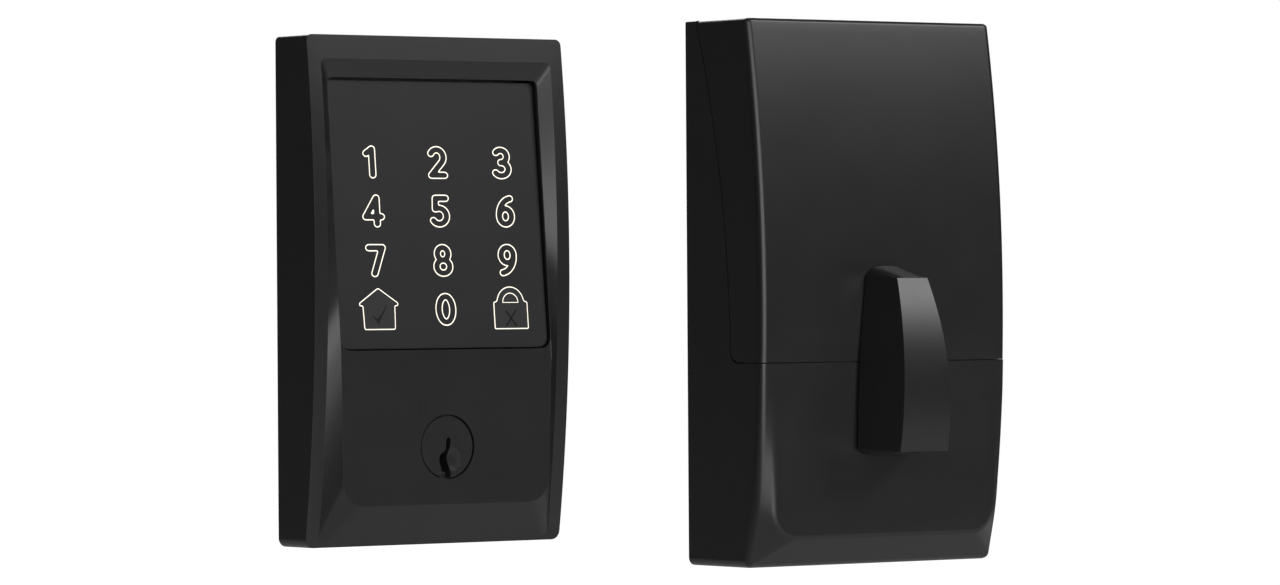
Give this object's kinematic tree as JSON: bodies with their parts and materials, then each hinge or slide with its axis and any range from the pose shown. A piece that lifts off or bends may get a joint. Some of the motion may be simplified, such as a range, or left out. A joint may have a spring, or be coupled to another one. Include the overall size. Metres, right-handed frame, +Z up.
{
  "type": "keypad smart lock",
  "caption": "Electronic deadbolt trim: touchscreen keypad half with a key cylinder and battery half with a thumbturn, laid out side by side.",
  "frame": {"origin": "key axis of the keypad half, on the plane of both halves' back faces", "axes": "X to the right seen from the front, Y into the door, Z up; both halves face -Y"},
  "size_m": [0.2087, 0.099, 0.142],
  "materials": {
    "black_zinc": "fine matte black powder coat",
    "black_glass": "opaque black glass with printed legends lit from behind",
    "dark_rubber": "matte rubber",
    "white_diffuser": "milky diffuser",
    "circuit_board": "solder mask",
    "led_package": "moulded package",
    "ivory_plastic": "moulded nylon",
    "brass": "machined",
    "black_plug": "satin black",
    "pin_brass": "bright",
    "spring_steel": "plated",
    "zinc_plated_steel": "zinc plated",
    "screw_steel": "plated",
    "chassis_plastic": "moulded",
    "gear_nylon": "moulded nylon",
    "motor_can": "drawn can",
    "cell_jacket": "printed jacket, plain",
    "shield_can": "tinned",
    "dark_plastic": "moulded"
  },
  "bodies": {
    "lock_frame": {"back_plate_screws": "screw_steel", "battery_cells": "cell_jacket", "battery_contacts": "spring_steel", "battery_tray": "chassis_plastic", "board_connector": "ivory_plastic", "bore_boss": "chassis_plastic", "bridge_screws": "screw_steel", "button_switch": "dark_plastic", "buzzer": "dark_plastic", "cable_socket": "ivory_plastic", "cylinder_housing": "brass", "drive_motor": "motor_can", "driver_pins": "pin_brass", "electronics_cover": "chassis_plastic", "gearbox_bridge": "zinc_plated_steel", "housing_screws": "screw_steel", "idler_shaft": "screw_steel", "inside_chassis": "chassis_plastic", "inside_housing": "black_zinc", "legend_lights": "led_package", "light_guide": "white_diffuser", "main_circuit_board": "circuit_board", "mounting_posts": "zinc_plated_steel", "outside_back_plate": "zinc_plated_steel", "outside_housing": "black_zinc", "pin_springs": "spring_steel", "plate_screws": "screw_steel", "position_sensor": "dark_plastic", "screen_gasket": "dark_rubber", "support_plate": "zinc_plated_steel", "through_bolts": "screw_steel", "touch_circuit_board": "circuit_board", "touchscreen_lens": "black_glass", "weather_gasket": "dark_rubber", "wireless_module": "shield_can"},
    "key_rotor": {"key_plug": "black_plug", "key_pins": "pin_brass", "plug_retainer": "brass", "tailpiece": "zinc_plated_steel"},
    "turn_rotor": {"turn_hub": "zinc_plated_steel", "thumbturn": "black_zinc", "output_gear": "gear_nylon", "hub_retaining_ring": "screw_steel"},
    "idler": {"idler_gear": "gear_nylon"},
    "motor_rotor": {"motor_pinion": "brass"},
    "cover": {"battery_cover": "black_zinc"},
    "button": {"program_button": "dark_plastic"}
  },
  "joints": [
    {"name": "thumb_turn", "type": "hinge", "parent": "lock_frame", "child": "turn_rotor", "pos_m": [0.1295, 0, 0.0198], "axis": [0, -1, 0], "range_deg": [-90, 90]},
    {"name": "idler_spin", "type": "hinge", "parent": "lock_frame", "child": "idler", "pos_m": [0.11449, 0, 0.0072], "axis": [0, -1, 0], "range_deg": [-330, 330]},
    {"name": "motor_spin", "type": "hinge", "parent": "lock_frame", "child": "motor_rotor", "pos_m": [0.1132, 0, -0.00744], "axis": [0, -1, 0], "range_deg": [-825, 825]},
    {"name": "key_turn", "type": "hinge", "parent": "lock_frame", "child": "key_rotor", "pos_m": [0, 0, 0], "axis": [0, -1, 0], "range_deg": [-90, 90]},
    {"name": "cover_slide", "type": "slide", "parent": "lock_frame", "child": "cover", "axis": [0, 0, 1], "range_m": [0, 0.092]},
    {"name": "button_press", "type": "slide", "parent": "lock_frame", "child": "button", "axis": [0, 1, 0], "range_m": [0, 0.001], "stiffness_N_per_m": 800, "springref_m": -0.001}
  ],
  "couplings": [
    {"joint": "idler_spin", "follows": "thumb_turn", "ratio": -3.6667},
    {"joint": "motor_spin", "follows": "thumb_turn", "ratio": 9.1667}
  ]
}
